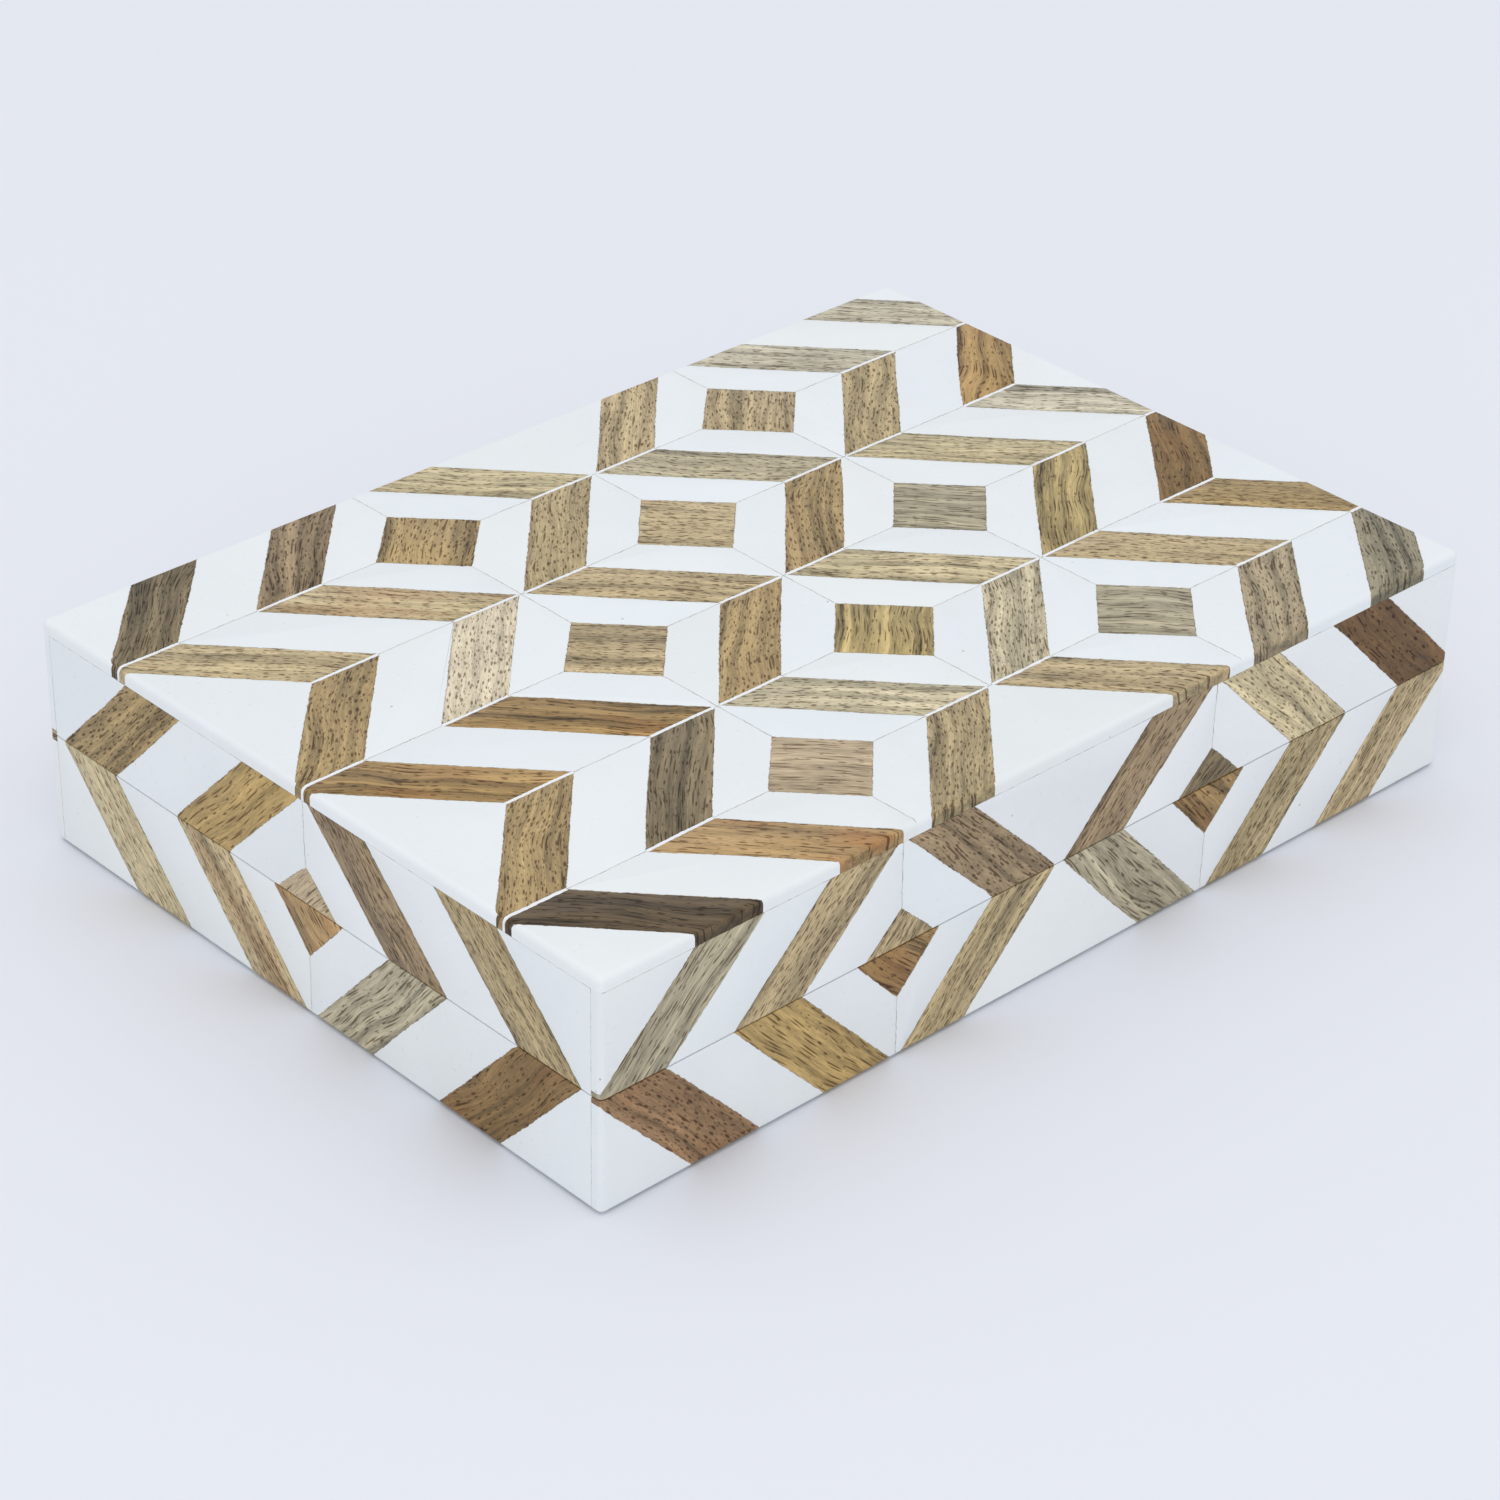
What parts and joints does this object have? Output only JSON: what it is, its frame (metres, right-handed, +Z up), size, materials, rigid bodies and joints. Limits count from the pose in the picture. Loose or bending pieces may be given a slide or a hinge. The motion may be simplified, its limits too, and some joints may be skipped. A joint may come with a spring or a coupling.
{
  "type": "inlaid wooden box",
  "caption": "Low rectangular wooden box with a hinged lid, covered in a geometric inlay of wood strips, wood diamonds and white resin tiles.",
  "frame": {"origin": "middle of the inlaid box's footprint on its flat underside", "axes": "+X along the long side, +Y to the hinged back, +Z up; the front long side is at -Y"},
  "size_m": [0.228, 0.1658, 0.0496],
  "materials": {
    "strip_wood": "several natural open-pored hardwoods, sanded flush and sealed satin",
    "diamond_wood": "natural open-pored hardwood, sanded flush and sealed satin",
    "white_resin": "white cast resin tile, sanded and polished satin",
    "white_filler": "white filler rubbed into the mitres",
    "carcass_wood": "plain light hardwood, oiled",
    "brass": "drawn brass, lightly aged",
    "screw_brass": "turned brass, slotted head"
  },
  "bodies": {
    "base": {"base_board": "carcass_wood", "base_front_wall": "carcass_wood", "base_back_wall": "carcass_wood", "base_left_wall": "carcass_wood", "base_right_wall": "carcass_wood", "base_front_strips": "strip_wood", "base_front_diamonds": "diamond_wood", "base_front_white": "white_resin", "base_back_strips": "strip_wood", "base_back_diamonds": "diamond_wood", "base_back_white": "white_resin", "base_left_strips": "strip_wood", "base_left_diamonds": "diamond_wood", "base_left_white": "white_resin", "base_right_strips": "strip_wood", "base_right_diamonds": "diamond_wood", "base_right_white": "white_resin", "hinge_base_leaves": "brass", "hinge_pins": "brass", "hinge_base_screws": "screw_brass"},
    "lid": {"lid_board": "carcass_wood", "lid_front_wall": "carcass_wood", "lid_back_wall": "carcass_wood", "lid_left_wall": "carcass_wood", "lid_right_wall": "carcass_wood", "lid_top_strips": "strip_wood", "lid_top_diamonds": "diamond_wood", "lid_top_white": "white_resin", "lid_top_filler": "white_filler", "lid_front_strips": "strip_wood", "lid_front_diamonds": "diamond_wood", "lid_front_white": "white_resin", "lid_back_strips": "strip_wood", "lid_back_diamonds": "diamond_wood", "lid_back_white": "white_resin", "lid_left_strips": "strip_wood", "lid_left_diamonds": "diamond_wood", "lid_left_white": "white_resin", "lid_right_strips": "strip_wood", "lid_right_diamonds": "diamond_wood", "lid_right_white": "white_resin", "hinge_lid_leaves": "brass", "hinge_lid_screws": "screw_brass"}
  },
  "joints": [
    {"name": "lid_hinge", "type": "hinge", "parent": "base", "child": "lid", "pos_m": [0, 0.0823, 0.02423], "axis": [-1, 0, 0], "range_deg": [0, 105]}
  ]
}
